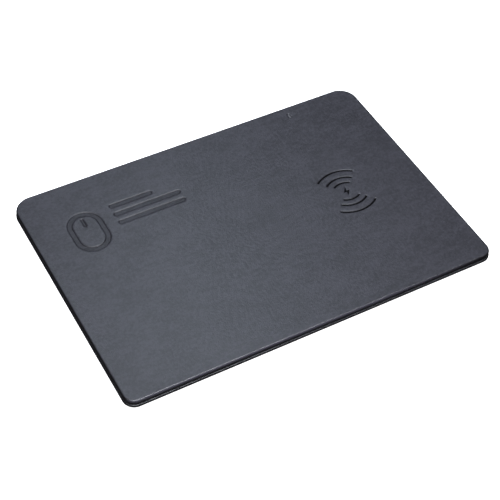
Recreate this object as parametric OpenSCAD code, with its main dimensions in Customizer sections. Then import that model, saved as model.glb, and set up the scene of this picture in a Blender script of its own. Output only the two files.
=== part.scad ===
// Flat leatherette desk mat with a wireless charger built into its right half.
// Two wrapped units are glued back to back; the charger sits in a window through both.
// Millimetres. Origin: centre of the underside. +X along the length, +Y to the rear edge, +Z up.

/* [Mat] */
// Length of the mat along X
mat_w = 300; // [280:1:320]
// Depth of the mat along Y
mat_d = 210; // [200:1:230]
// Plan radius of the two corners at the front
front_corner_r = 9.2; // [8:0.1:20]
// Plan radius of the two corners at the rear
rear_corner_r = 15; // [8:0.1:20]
// How far the upper unit stands in from the lower unit's outline
ledge = 0.4; // [0.2:0.1:0.6]
// Edge radius round the top surface
top_edge_r = 1.5; // [1:0.1:1.8]

/* [Layers] */
// Non-slip sheet under the mat
grip_t = 0.5; // [0.4:0.1:0.8]
// Margin between the non-slip sheet and the outline
grip_margin = 6; // [4:0.5:10]
// Leatherette on the underside
bottom_leather_t = 0.6; // [0.5:0.1:0.8]
// Board in the lower unit
lower_board_t = 1.2; // [1.2:0.1:1.6]
// Leatherette where it is thinned and turned in behind each board
turn_t = 0.5; // [0.4:0.1:0.6]
// How far the leatherette turns in behind each board
turn_w = 12; // [8:0.5:13]
// Adhesive film between the two units
film_t = 0.2; // [0.1:0.05:0.3]
// Board in the upper unit
upper_board_t = 2.3; // [2.3:0.1:2.8]
// Foam under the top leatherette
foam_t = 0.5; // [0.3:0.1:1]
// Leatherette on the top
top_leather_t = 0.9; // [0.8:0.1:1.2]

/* [Charging spot] */
// Centre of the coil and of the debossed symbol along X
charge_x = 85.2; // [70:0.2:95]
// Centre of the coil and of the debossed symbol along Y
charge_y = -0.3; // [-10:0.1:10]
// Radius of the innermost wave
wave_r1 = 13; // [12:0.1:14]
// Radius of the middle wave
wave_r2 = 18.7; // [17:0.1:20]
// Radius of the outermost wave
wave_r3 = 26; // [24:0.1:28]
// How far the centre of each set of waves lies behind the symbol's centre
wave_back = 3.9; // [2:0.1:5]
// Half of the angle that the innermost wave spans
wave_angle1 = 30; // [25:1:40]
// Half of the angle that the middle wave spans
wave_angle2 = 35; // [25:1:40]
// Half of the angle that the outermost wave spans
wave_angle3 = 36; // [25:1:40]
// Width of the symbol's lines
wave_w = 1.8; // [1:0.1:2.4]
// Depth of everything debossed in the top
deboss_t = 0.5; // [0.3:0.05:0.6]

/* [Motif] */
// Centre of the mouse outline along X
motif_x = -108.5; // [-110:0.5:-90]
// Centre of the mouse outline along Y
motif_y = 51; // [20:0.5:60]
// Width of the mouse outline
motif_w = 28; // [24:0.5:32]
// Height of the mouse outline
motif_h = 41; // [36:0.5:44]
// Width of the motif's lines
motif_line = 4.4; // [3:0.1:5]

/* [Coil] */
// Turns in the coil
coil_turns = 10; // [6:1:10]
// Distance from one turn to the next
coil_pitch = 1.14; // [1.12:0.01:1.18]
// Width of the coil's wire
wire_w = 1.05; // [0.9:0.01:1.08]
// Radius of the hole in the coil
coil_in_r = 10.25; // [9.5:0.05:10.5]
// Radius of the magnetic screen
ferrite_r = 24.5; // [23:0.1:25]

/* [Charger case] */
// Wall of the charger's tray
tray_wall = 1.2; // [1:0.1:1.4]
// Floor of the tray
tray_floor = 0.5; // [0.4:0.1:0.6]
// Width of the electronics bay
bay_w = 50; // [48:0.5:54]
// Depth of the electronics bay
bay_d = 37; // [36:0.5:40]
// Width of the neck between the coil and the bay
neck_w = 22; // [18:0.5:26]

/* [Status light] */
// Offset of the status light from the charging spot along X
led_dx = 3.1; // [-2:0.1:4]
// Distance of the status light from the rear edge
led_inset = 10.7; // [9.9:0.1:11]
// Length of the light's window
window_l = 4.5; // [4:0.1:5]
// Width of the light's window
window_w = 1.8; // [1.4:0.1:2.2]

/* [Hidden] */
$fn = 64;

// Cuts run this far past the faces that they open
past = 1;

// Heights of the layers, from the floor up
z_leather = grip_t;
z_lower_board = z_leather + bottom_leather_t;
z_lower_turn = z_lower_board + lower_board_t;
z_film = z_lower_turn + turn_t;
z_upper = z_film + film_t;
z_upper_board = z_upper + turn_t;
z_foam = z_upper_board + upper_board_t;
z_top_leather = z_foam + foam_t;
z_top = z_top_leather + top_leather_t;

// Smallest corner radius of any sheet or opening
least_r = 0.5;

// Edge radii of the two units away from the top surface
hem_r = 0.6;
sole_r = 0.8;

// Liners stand this far off the turned-in leatherette
liner_gap = 0.2;

// Bolt in the middle of the charging symbol: point-symmetric about its centre
bolt_half = [[1.4, 5.2], [-3, -0.8], [-0.3, -0.8]];

// Wheel of the mouse outline, and the three bars beside it
wheel_w = 2.6;
wheel_l = 9;
wheel_drop = 6.5;
bars_x = 23.5;
bars_y = -2;
bar_step = 9;
bar_lengths = [56, 56, 36];

// Charger case
case_gap = 0.2;
coil_room = 1.3;
coil_bay_r = ferrite_r + coil_room + tray_wall;
bay_rear = mat_d / 2 - ledge - top_leather_t;
bay_y = bay_rear - bay_d / 2;
bay_r = 3;
lid_t = 0.6;
z_tray = z_lower_board;
z_floor = z_tray + tray_floor;
z_lid = z_foam - lid_t;

// Coil stack, from the tray's floor up
ferrite_t = 1;
glue_t = 0.1;
coil_t = 1.1;
tape_t = 0.1;
z_ferrite = z_floor + 1.2;
z_glue = z_ferrite + ferrite_t;
z_coil = z_glue + glue_t;
z_tape = z_coil + coil_t;
coil_wound = 360 * coil_turns;
coil_out_r = coil_in_r + coil_turns * coil_pitch + wire_w;
steps_per_turn = 24;
slot_w = 4;
slot_dx = -0.3;
slot_start = 7;

// Circuit board
board_w = 44;
board_d = 32;
board_t = 0.8;
z_board = z_floor + 0.8;
z_parts = z_board + board_t;
board_rear = bay_rear - tray_wall - 0.3;
board_front = board_rear - board_d;
screw_dx = board_w / 2 - 2;
screw_dy = board_d / 2 - 2.4;
board_y = board_rear - board_d / 2;

// Screws
head_r = 1.4;
head_t = 0.5;
shank_r = 0.7;
boss_r = 1.9;

// Leads: flat strands in the plane of Y and height
lead_w = 1;
inner_lead_dx = 0.5;
inner_lead_t = 0.8;
outer_lead_dx = -0.5;
outer_lead_t = 1;
sense_wire_w = 0.35;
sense_wire_t = 0.3;
sense_wire_dx = [-1.9, -1.3];
bead_dx = -1.6;
bead_l = 3;
lead_end = board_front + 5;

// Socket
port_z = z_floor + 1.9;
shell_w = 8.94;
shell_h = 3.26;
shell_t = 0.3;
shell_len = 7.3;
mouth_y = mat_d / 2 - 0.6;
shell_back = mouth_y - shell_len;
tongue_w = 6.7;
tongue_t = 0.7;
bezel_w = 14;
bezel_h = 4.6;
bezel_r = 1.4;
bezel_face = mat_d / 2 - 0.2;

// Status light
led_x = charge_x + led_dx;
led_y = mat_d / 2 - led_inset;
foot_y = shell_back - 1.3;
window_sink = 0.25;
led_h = 0.6;

// ---------------------------------------------------------------- shared shapes

// Flat rounded rectangle about the origin
module rounded_rect(w, d, r) {
    square([w - 2 * r, d], center = true);
    square([w, d - 2 * r], center = true);
    for (sx = [-1, 1], sy = [-1, 1]) {
        translate([sx * (w / 2 - r), sy * (d / 2 - r)])
            circle(r);
    }
}

// Slot with round ends, long along Y
module stadium(w, l) {
    square([w, l - w], center = true);
    for (s = [-1, 1]) {
        translate([0, s * (l - w) / 2])
            circle(w / 2);
    }
}

// A flat outline raised from z to z + t
module layer(z, t) {
    translate([0, 0, z])
        linear_extrude(t)
            children();
}

// A block from its plan centre, its floor and its size
module block(x, y, z, size) {
    translate([x - size[0] / 2, y - size[1] / 2, z])
        cube(size);
}

// Outline of the mat, moved inwards
module outline(inset) {
    w = mat_w / 2 - inset;
    d = mat_d / 2 - inset;
    front = max(least_r, front_corner_r - inset);
    rear = max(least_r, rear_corner_r - inset);
    translate([-w, front - d])
        square([2 * w, 2 * d - front - rear]);
    translate([front - w, -d])
        square([2 * (w - front), d]);
    translate([rear - w, 0])
        square([2 * (w - rear), d]);
    for (s = [-1, 1]) {
        translate([s * (w - front), front - d])
            circle(front);
        translate([s * (w - rear), d - rear])
            circle(rear);
    }
}

// Half of a slab's section, from the middle of a corner (x = 0) out to its rounded edge
module edge_section(reach, z0, z1, low_r, high_r) {
    translate([0, z0])
        square([reach - max(low_r, high_r), z1 - z0]);
    translate([0, z0 + low_r])
        square([reach, z1 - z0 - low_r - high_r]);
    translate([0, z0])
        square([reach - low_r, low_r]);
    translate([0, z1 - high_r])
        square([reach - high_r, high_r]);
    translate([reach - low_r, z0 + low_r])
        circle(low_r);
    translate([reach - high_r, z1 - high_r])
        circle(high_r);
}

// Straight run of a slab's edge that faces +X before it is turned; it starts at x = inner
module edge_run(turn, inner, along, reach, z0, z1, low_r, high_r) {
    rotate([0, 0, turn])
        translate([inner, along[1], 0])
            rotate([90, 0, 0])
                linear_extrude(along[1] - along[0])
                    edge_section(reach, z0, z1, low_r, high_r);
}

// Slab with the mat's outline, moved inwards, and with rounded edges
module rounded_slab(inset, z0, z1, low_r, high_r) {
    w = mat_w / 2 - inset;
    d = mat_d / 2 - inset;
    front = front_corner_r - inset;
    rear = rear_corner_r - inset;
    translate([front - w, front - d, z0])
        cube([2 * (w - front), 2 * d - front - rear, z1 - z0]);
    edge_run(0, w - front, [front - d, d - rear], front, z0, z1, low_r, high_r);
    edge_run(90, d - rear, [rear - w, w - rear], rear, z0, z1, low_r, high_r);
    edge_run(180, w - front, [rear - d, d - front], front, z0, z1, low_r, high_r);
    edge_run(270, d - front, [front - w, w - front], front, z0, z1, low_r, high_r);
    for (q = [0 : 3]) {
        r = q < 2 ? rear : front;
        out = q % 2 == 0 ? w : d;
        run = q % 2 == 0 ? d : w;
        rotate([0, 0, 90 * q])
            translate([out - r, run - r, 0])
                rotate_extrude(angle = 90)
                    edge_section(r, z0, z1, low_r, high_r);
    }
}

// Band of constant height along a path of [y, z] points, as an outline
function band(path, t) = concat(
    [for (p = path) [p[0], p[1] + t / 2]],
    [for (i = [len(path) - 1 : -1 : 0]) [path[i][0], path[i][1] - t / 2]]
);

// Strand of width w, centred at x, that follows an outline in the plane of Y and height
module strand(x, w) {
    translate([x - w / 2, 0, 0])
        rotate([90, 0, 90])
            linear_extrude(w)
                children();
}

// Rounded block that faces the rear, centred on the socket
module port_block(w, h, r, y0, y1) {
    translate([charge_x, y1, port_z])
        rotate([90, 0, 0])
            linear_extrude(y1 - y0)
                rounded_rect(w, h, r);
}

// ---------------------------------------------------------------- debossed shapes

// One wave: the part of a ring that lies within an angle about +Y
module wave(r, half_angle) {
    reach = 2 * r;
    edge_x = reach * sin(half_angle);
    edge_y = reach * cos(half_angle);
    intersection() {
        difference() {
            circle(r + wave_w / 2);
            circle(r - wave_w / 2);
        }
        polygon([[0, 0], [-edge_x, edge_y], [edge_x, edge_y]]);
    }
}

// Three waves to the rear, three to the front and a bolt between them
module charge_symbol() {
    translate([charge_x, charge_y]) {
        for (turn = [0, 180]) {
            rotate(turn)
                translate([0, -wave_back]) {
                    wave(wave_r1, wave_angle1);
                    wave(wave_r2, wave_angle2);
                    wave(wave_r3, wave_angle3);
                }
        }
        polygon(concat(bolt_half, [for (p = bolt_half) -p]));
    }
}

// A mouse outline with its wheel, and three plain bars beside it
module motif() {
    translate([motif_x, motif_y]) {
        difference() {
            stadium(motif_w, motif_h);
            stadium(motif_w - 2 * motif_line, motif_h - 2 * motif_line);
        }
        translate([0, motif_h / 2 - motif_line - wheel_drop])
            stadium(wheel_w, wheel_l);
        for (i = [0 : 2]) {
            translate([bars_x + bar_lengths[i] / 2, bars_y + bar_step * i])
                rotate(90)
                    stadium(motif_line, bar_lengths[i]);
        }
    }
}

// ---------------------------------------------------------------- charger outlines

// Plan of the charger case: a round coil bay, a neck and the electronics bay
module case_plan(grow) {
    translate([charge_x, charge_y])
        circle(coil_bay_r + grow);
    translate([charge_x - neck_w / 2 - grow, charge_y])
        square([neck_w + 2 * grow, bay_y - charge_y]);
    translate([charge_x, bay_y])
        rounded_rect(bay_w + 2 * grow, bay_d + 2 * grow, bay_r + grow);
}

// Window for the case through boards and liners, open at the rear edge
module case_window() {
    case_plan(case_gap);
    translate([charge_x - bay_w / 2 - case_gap, bay_y])
        square([bay_w + 2 * case_gap, mat_d / 2 - bay_y + past]);
}

// The part of the window that passes through the turned-in leatherette
module hem_window() {
    intersection() {
        case_window();
        square([mat_w, 2 * bay_rear], center = true);
    }
}

// Repeats a shape at the four screws
module screw_places() {
    for (sx = [-1, 1], sy = [-1, 1]) {
        translate([charge_x + sx * screw_dx, board_y + sy * screw_dy])
            children();
    }
}

// ---------------------------------------------------------------- mat

module top_cover() {
    color([0.11, 0.115, 0.13])
        difference() {
            rounded_slab(ledge, z_upper, z_top, hem_r, top_edge_r);
            layer(z_upper_board, z_top_leather - z_upper_board)
                outline(ledge + top_leather_t);
            layer(z_upper - past, turn_t + 2 * past)
                outline(ledge + turn_w);
            layer(z_top - deboss_t, deboss_t + past) {
                charge_symbol();
                motif();
            }
            layer(z_top_leather - past, top_leather_t + 2 * past)
                translate([led_x, led_y])
                    stadium(window_w, window_l);
            port_block(bezel_w, bezel_h, bezel_r, bay_rear, mat_d / 2 + past);
            layer(z_upper - past, turn_t + past)
                hem_window();
        }
}

module top_foam() {
    color([0.25, 0.25, 0.26])
        layer(z_foam, foam_t)
            difference() {
                outline(ledge + top_leather_t);
                translate([led_x, led_y])
                    stadium(window_w, window_l);
            }
}

module upper_board() {
    color([0.42, 0.4, 0.37])
        layer(z_upper_board, upper_board_t)
            difference() {
                outline(ledge + top_leather_t);
                case_window();
            }
}

module upper_liner() {
    color([0.6, 0.57, 0.5])
        layer(z_upper, turn_t)
            difference() {
                outline(ledge + turn_w + liner_gap);
                case_window();
            }
}

module seam_adhesive() {
    color([0.2, 0.2, 0.19])
        layer(z_film, film_t)
            difference() {
                outline(1.4);
                case_window();
            }
}

module lower_liner() {
    color([0.6, 0.57, 0.5])
        layer(z_lower_turn, turn_t)
            difference() {
                outline(turn_w + liner_gap);
                case_window();
            }
}

module lower_board() {
    color([0.42, 0.4, 0.37])
        layer(z_lower_board, lower_board_t)
            difference() {
                outline(bottom_leather_t);
                case_window();
            }
}

module bottom_cover() {
    color([0.09, 0.09, 0.1])
        difference() {
            rounded_slab(0, z_leather, z_film, sole_r, sole_r);
            layer(z_lower_board, lower_board_t)
                outline(bottom_leather_t);
            layer(z_lower_turn - past / 2, turn_t + past)
                outline(turn_w);
            port_block(bezel_w, bezel_h, bezel_r, bay_rear, mat_d / 2 + past);
            layer(z_lower_turn, turn_t + past)
                hem_window();
        }
}

module grip_sheet() {
    color([0.07, 0.07, 0.075])
        layer(0, grip_t)
            outline(grip_margin);
}

module charger_tray() {
    rib_w = 1.2;
    color([0.13, 0.13, 0.14])
        difference() {
            union() {
                difference() {
                    layer(z_tray, z_lid - z_tray)
                        case_plan(0);
                    layer(z_floor, z_lid - z_floor + past)
                        case_plan(-tray_wall);
                }
                // Ring ribs that carry the magnetic screen
                for (r = [9, 16, 23]) {
                    layer(z_floor, z_ferrite - z_floor)
                        translate([charge_x, charge_y])
                            difference() {
                                circle(r);
                                circle(r - rib_w);
                            }
                }
                layer(z_floor, z_board - z_floor)
                    screw_places()
                        circle(boss_r);
            }
            layer(z_floor, z_board - z_floor + past)
                screw_places()
                    circle(shank_r);
            port_block(shell_w + 0.1, shell_h + 0.1, 1.5, bay_rear - tray_wall - past, bay_rear + past);
        }
}

module charger_lid() {
    color([0.13, 0.13, 0.14])
        difference() {
            union() {
                layer(z_lid, lid_t)
                    case_plan(0);
                layer(z_parts, z_lid - z_parts)
                    screw_places()
                        circle(boss_r);
            }
            layer(z_parts - past, z_foam - z_parts + 2 * past)
                screw_places()
                    circle(shank_r);
            layer(z_foam - head_t, head_t + past)
                screw_places()
                    circle(head_r);
            layer(z_lid - past, lid_t + 2 * past)
                translate([led_x, led_y])
                    stadium(window_w, window_l);
        }
}

module lid_screws() {
    color([0.7, 0.7, 0.72])
        screw_places() {
            layer(z_floor, z_foam - head_t - z_floor)
                circle(shank_r);
            difference() {
                layer(z_foam - head_t, head_t)
                    circle(head_r);
                for (a = [0, 90]) {
                    rotate(a)
                        block(0, 0, z_foam - head_t / 2, [1.7, 0.35, head_t]);
                }
            }
        }
}

// ---------------------------------------------------------------- coil

module ferrite_plate() {
    color([0.2, 0.19, 0.19])
        layer(z_ferrite, ferrite_t)
            translate([charge_x, charge_y])
                difference() {
                    circle(ferrite_r);
                    translate([slot_dx - slot_w / 2, slot_start])
                        square([slot_w, ferrite_r]);
                }
}

module coil_adhesive() {
    color([0.85, 0.83, 0.75])
        layer(z_glue, glue_t)
            translate([charge_x, charge_y])
                difference() {
                    circle(coil_out_r);
                    circle(coil_in_r);
                }
}

// Radius of the wire's middle after a number of degrees, from the coil's inner end
function spiral_r(turned) = coil_in_r + wire_w / 2 + coil_pitch * turned / 360;

// Point beside the spiral, at an offset from the middle of the wire
function spiral_point(turned, side) = let (r = spiral_r(turned) + side * wire_w / 2)
    [-r * sin(turned), r * cos(turned)];

module coil_winding() {
    step = 360 / steps_per_turn;
    color([0.72, 0.4, 0.2])
        layer(z_coil, coil_t)
            translate([charge_x, charge_y])
                polygon(concat(
                    [for (a = [0 : step : coil_wound]) spiral_point(a, 1)],
                    [for (a = [coil_wound : -step : 0]) spiral_point(a, -1)]
                ));
}

// From the coil's inner end down into the screen's slot, out under the coil and to the board
module coil_lead_inner() {
    low = z_ferrite + 0.1;
    start = charge_y + slot_start + 0.4;
    fold = start + 1.1;
    hook_end = charge_y + coil_in_r + 0.9 * wire_w;
    run = low + inner_lead_t / 2;
    rest = z_parts + inner_lead_t / 2;
    flat = band([[fold, run], [board_front - 4, run], [board_front - 1, rest],
        [lead_end, rest]], inner_lead_t);
    hook = [[start, low], [start, z_tape], [hook_end, z_tape], [hook_end, z_coil], [fold, z_coil]];
    color([0.72, 0.4, 0.2])
        strand(charge_x + inner_lead_dx, lead_w)
            polygon(concat(hook, flat));
}

// From the coil's outer end along the neck and down to the board
module coil_lead_outer() {
    start = charge_y + spiral_r(coil_wound) - wire_w / 2;
    run = z_coil + coil_t / 2;
    rest = z_parts + outer_lead_t / 2;
    color([0.72, 0.4, 0.2])
        strand(charge_x + outer_lead_dx, lead_w)
            polygon(band([[start, run], [board_front - 6, run], [board_front - 1, rest],
                [lead_end, rest]], outer_lead_t));
}

module coil_tape() {
    color([0.75, 0.5, 0.15])
        layer(z_tape, tape_t)
            translate([charge_x, charge_y])
                for (s = [-1, 1]) {
                    translate([s * 12, 0])
                        square([8, 34], center = true);
                }
}

module thermistor() {
    color([0.1, 0.1, 0.1])
        block(charge_x + bead_dx, charge_y, z_glue, [2.2, bead_l, coil_t]);
}

module thermistor_leads() {
    high = z_glue + sense_wire_t / 2;
    low = z_ferrite + 0.5;
    rest = z_parts + sense_wire_t / 2;
    bend = charge_y + slot_start;
    color([0.8, 0.8, 0.82])
        for (dx = sense_wire_dx) {
            strand(charge_x + dx, sense_wire_w)
                polygon(band([[charge_y + bead_l / 2, high], [bend + 0.2, high],
                    [bend + 1.2, low], [board_front - 3, low],
                    [board_front - 1, rest], [lead_end, rest]], sense_wire_t));
        }
}

// ---------------------------------------------------------------- electronics

module circuit_board() {
    color([0.05, 0.28, 0.14])
        layer(z_board, board_t)
            difference() {
                translate([charge_x, board_y])
                    square([board_w, board_d], center = true);
                screw_places()
                    circle(shank_r);
                translate([charge_x - shell_w / 2 - 0.1, shell_back - 0.2])
                    square([shell_w + 0.2, shell_len]);
            }
}

module heat_pad() {
    color([0.55, 0.6, 0.7])
        block(charge_x + 8, board_front + 12, z_floor, [14, 12, z_board - z_floor]);
}

module controller_chip() {
    color([0.06, 0.06, 0.065])
        block(charge_x - 8, board_front + 14, z_parts, [5, 5, 0.9]);
}

module crystal() {
    color([0.75, 0.75, 0.72])
        block(charge_x - 14.5, board_front + 14, z_parts, [3.2, 2.5, 0.7]);
}

module bridge_transistors() {
    color([0.07, 0.07, 0.075])
        for (i = [0, 1], j = [0, 1]) {
            block(charge_x + 5.5 + 5 * i, board_front + 9.5 + 5 * j, z_parts, [3.3, 3.3, 0.9]);
        }
}

module resonant_capacitors() {
    color([0.6, 0.5, 0.38])
        for (i = [0 : 3]) {
            block(charge_x + 17, board_front + 7.5 + 4 * i, z_parts, [3.2, 2.5, 1.7]);
        }
}

module input_capacitors() {
    color([0.66, 0.58, 0.45])
        for (i = [0 : 2]) {
            block(charge_x + 10.5, board_front + 20 + 2.6 * i, z_parts, [3.2, 1.6, 1.6]);
        }
}

module filter_inductor() {
    color([0.28, 0.28, 0.29])
        block(charge_x - 13, board_front + 23.5, z_parts, [5, 5, 1.8]);
}

module sense_resistor() {
    color([0.1, 0.1, 0.1])
        block(charge_x + 4, board_front + 20, z_parts, [3.2, 1.6, 0.6]);
}

module chip_resistors() {
    color([0.1, 0.1, 0.11])
        for (i = [0 : 4], j = [0, 1]) {
            block(charge_x - 15 + 2.6 * i, board_front + 5.5 + 2 * j, z_parts, [1.6, 0.8, 0.45]);
        }
}

module chip_capacitors() {
    color([0.66, 0.58, 0.45])
        for (i = [0 : 4]) {
            block(charge_x - 19.5, board_front + 8 + 2.4 * i, z_parts, [1.6, 0.8, 0.8]);
            block(charge_x - 3, board_front + 12 + 2.4 * i, z_parts, [1.6, 0.8, 0.8]);
        }
}

module status_led() {
    color([0.9, 0.92, 0.95])
        block(led_x, foot_y, z_parts, [1.6, 0.8, led_h]);
}

module solder_joints() {
    ends = [inner_lead_dx, outer_lead_dx, sense_wire_dx[0], sense_wire_dx[1]];
    widths = [0.9, 0.9, 0.45, 0.45];
    color([0.75, 0.76, 0.78])
        for (i = [0 : 3]) {
            block(charge_x + ends[i], lead_end + 0.6, z_parts, [widths[i], 1.2, 0.4]);
        }
}

// Window in the top over a foot that stands on the status light
module light_pipe() {
    foot = [1.2, 1];
    z_foot = z_parts + led_h + 0.1;
    color([0.12, 0.12, 0.14], 0.6)
        union() {
            layer(z_lid, z_top - window_sink - z_lid)
                translate([led_x, led_y])
                    stadium(window_w, window_l);
            layer(z_foot, z_lid - z_foot + 0.1)
                translate([led_x, foot_y])
                    square(foot, center = true);
        }
}

// ---------------------------------------------------------------- socket

module usb_shell() {
    tab = [1.1, 1.6, 0.3];
    color([0.72, 0.72, 0.74])
        difference() {
            union() {
                port_block(shell_w, shell_h, 1.45, shell_back, mouth_y);
                for (s = [-1, 1], y = [1.4, 4.8]) {
                    block(charge_x + s * (shell_w / 2 + 0.4), shell_back + y, z_parts, tab);
                }
            }
            port_block(
                shell_w - 2 * shell_t, shell_h - 2 * shell_t, 1.15, shell_back - past, mouth_y + past
            );
        }
}

module usb_tongue() {
    back_l = 1.4;
    color([0.08, 0.08, 0.085])
        union() {
            port_block(
                shell_w - 2 * shell_t, shell_h - 2 * shell_t, 1.15, shell_back, shell_back + back_l
            );
            port_block(tongue_w, tongue_t, 0.3, shell_back + back_l, mouth_y - 0.9);
        }
}

module usb_contacts() {
    strip = [0.26, 4, 0.08];
    color([0.85, 0.66, 0.25])
        for (i = [-5.5 : 5.5], s = [0, 1]) {
            block(
                charge_x + 0.5 * i, shell_back + 3.5,
                port_z - tongue_t / 2 - strip[2] + s * (tongue_t + strip[2]), strip
            );
        }
}

module port_bezel() {
    color([0.05, 0.05, 0.055])
        difference() {
            port_block(bezel_w, bezel_h, bezel_r, bay_rear, bezel_face);
            port_block(shell_w, shell_h, 1.45, bay_rear - past, bezel_face + past);
        }
}

top_cover();
top_foam();
upper_board();
upper_liner();
seam_adhesive();
lower_liner();
lower_board();
bottom_cover();
grip_sheet();
charger_tray();
charger_lid();
lid_screws();
ferrite_plate();
coil_adhesive();
coil_winding();
coil_lead_inner();
coil_lead_outer();
coil_tape();
thermistor();
thermistor_leads();
circuit_board();
heat_pad();
controller_chip();
crystal();
bridge_transistors();
resonant_capacitors();
input_capacitors();
filter_inductor();
sense_resistor();
chip_resistors();
chip_capacitors();
status_led();
solder_joints();
light_pipe();
usb_shell();
usb_tongue();
usb_contacts();
port_bezel();
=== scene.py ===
# A leatherette desk mat with a wireless charger in its right half, on a white studio floor.
# Shapes are worked out in millimetres and scaled to metres when a mesh is made.

import math

import bpy
import numpy as np
from mathutils import Matrix, Vector


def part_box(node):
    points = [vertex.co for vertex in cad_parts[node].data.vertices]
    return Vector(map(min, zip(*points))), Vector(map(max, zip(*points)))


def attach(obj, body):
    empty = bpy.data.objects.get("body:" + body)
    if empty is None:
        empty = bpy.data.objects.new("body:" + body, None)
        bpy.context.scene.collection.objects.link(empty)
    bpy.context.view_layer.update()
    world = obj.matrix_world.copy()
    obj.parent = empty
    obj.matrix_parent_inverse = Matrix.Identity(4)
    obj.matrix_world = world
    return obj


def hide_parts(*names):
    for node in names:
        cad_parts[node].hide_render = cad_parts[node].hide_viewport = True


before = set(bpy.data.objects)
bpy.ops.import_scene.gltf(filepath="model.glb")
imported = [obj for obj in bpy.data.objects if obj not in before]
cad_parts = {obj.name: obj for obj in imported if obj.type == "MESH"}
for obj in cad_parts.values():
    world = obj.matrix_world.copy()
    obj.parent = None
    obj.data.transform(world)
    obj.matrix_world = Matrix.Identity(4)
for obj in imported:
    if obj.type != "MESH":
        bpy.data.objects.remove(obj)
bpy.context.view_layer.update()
MM = 0.001


def box_mm(node):
    """Lowest and highest corner of a CAD node, in millimetres."""
    low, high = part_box(node)
    return np.array(low) / MM, np.array(high) / MM


# ------------------------------------------------------------------ meshes

def build(name, points, *face_sets):
    """A smooth-shaded mesh from points (n, 3) in millimetres and arrays of faces (count, corners)."""
    sizes = np.concatenate([np.full(len(faces), faces.shape[1]) for faces in face_sets])
    corners = np.concatenate([faces.ravel() for faces in face_sets])
    used, corners = np.unique(corners, return_inverse=True)
    points = np.asarray(points)[used]
    mesh = bpy.data.meshes.new(name)
    mesh.vertices.add(len(points))
    mesh.vertices.foreach_set("co", (points * MM).astype(np.float32).ravel())
    mesh.loops.add(len(corners))
    mesh.loops.foreach_set("vertex_index", corners.astype(np.int32))
    mesh.polygons.add(len(sizes))
    mesh.polygons.foreach_set("loop_start", (np.cumsum(sizes) - sizes).astype(np.int32))
    mesh.polygons.foreach_set("use_smooth", np.ones(len(sizes), bool))
    mesh.update(calc_edges=True)
    mesh.validate()
    piece = bpy.data.objects.new(name, mesh)
    bpy.context.scene.collection.objects.link(piece)
    return piece


def grid_quads(index, closed=False):
    """Quads between neighbouring rows and columns of an index grid.

    closed joins its last column to its first."""
    if closed:
        index = np.concatenate([index, index[:, :1]], axis=1)
    quads = np.stack([index[:-1, :-1], index[:-1, 1:], index[1:, 1:], index[1:, :-1]], axis=-1)
    return quads.reshape(-1, 4)


def mark(piece, name, value):
    """Stores a number at every point of a piece, found from the point's x and y in mm."""
    places = np.empty(3 * len(piece.data.vertices), np.float32)
    piece.data.vertices.foreach_get("co", places)
    x, y, _ = places.reshape(-1, 3).T / MM
    layer = piece.data.attributes.new(name, "FLOAT", "POINT")
    layer.data.foreach_set("value", value(x, y).astype(np.float32))


def border(index):
    """The outermost points of an index grid, anticlockwise from its first corner."""
    return np.concatenate([index[0, :-1], index[:-1, -1], index[-1, :0:-1], index[:0:-1, 0]])


def loft(name, rings, ring_closed=False):
    """Skin over a list of rings with equal point counts, low or outer ring first.

    The first and last rings are capped, unless ring_closed joins the last back to the first."""
    count, sides = len(rings), len(rings[0])
    index = np.arange(count * sides).reshape(count, sides)
    points = np.concatenate(rings)
    if ring_closed:
        return build(name, points, grid_quads(np.vstack([index, index[:1]]), closed=True))
    return build(name, points, grid_quads(index, closed=True), index[:1, ::-1], index[-1:])


def join(name, *pieces):
    """Several pieces made one, without any change of shape."""
    bpy.ops.object.select_all(action="DESELECT")
    for piece in pieces:
        piece.select_set(True)
    bpy.context.view_layer.objects.active = pieces[0]
    bpy.ops.object.join()
    pieces[0].name = name
    return pieces[0]


def smoothstep(low, high, value):
    """0 below low, 1 above high, and a cubic ease between them."""
    t = np.clip((value - low) / (high - low), 0, 1)
    return t * t * (3 - 2 * t)


def even_lines(stops):
    """Grid lines through every stop (position, step), spaced by about the step up to the next stop."""
    runs = [
        np.linspace(a, b, max(1, round((b - a) / step)), endpoint=False)
        for (a, step), (b, _) in zip(stops, stops[1:])
    ]
    return np.append(np.concatenate(runs), stops[-1][0])


def corner_radius(y, corners):
    """Corner radius on a point's side of the mat; corners holds the front's and the rear's."""
    return np.where(np.asarray(y) < 0, corners[0], corners[1])


def round_corners(x, y, half, corners):
    """Bends a rectangular grid into a rounded rectangle.

    In each corner square the larger of the two offsets becomes a radius, and their ratio an angle."""
    radius = corner_radius(y, corners)
    a = np.clip((np.abs(x) - half[0] + radius) / radius, 0, None)
    b = np.clip((np.abs(y) - half[1] + radius) / radius, 0, None)
    reach = np.maximum(a, b)
    small = np.minimum(a, b) / np.maximum(reach, 1e-9)
    turn = np.where(a >= b, small, 2 - small) * math.pi / 4
    corner = (a > 0) & (b > 0)
    bent_x = np.sign(x) * (half[0] - radius + radius * reach * np.cos(turn))
    bent_y = np.sign(y) * (half[1] - radius + radius * reach * np.sin(turn))
    return np.where(corner, bent_x, x), np.where(corner, bent_y, y)


def round_edge(x, y, half, corners, edge):
    """How far round the edge of a rounded rectangle a point is: 0 on the flat and 1 on the side."""
    radius = corner_radius(y, corners)
    a = np.abs(x) - half[0] + radius
    b = np.abs(y) - half[1] + radius
    inside = radius - np.hypot(np.maximum(a, 0), np.maximum(b, 0)) - np.minimum(np.maximum(a, b), 0)
    return np.clip(1 - inside / edge, 0, 1)


def outward(points, half, corners):
    """Unit vectors that point away from a rounded rectangle, at points on its outline."""
    inner = half - corner_radius(points[:, 1], corners)[:, None]
    away = points - np.clip(points, -inner, inner)
    return away / np.linalg.norm(away, axis=1, keepdims=True)


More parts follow.
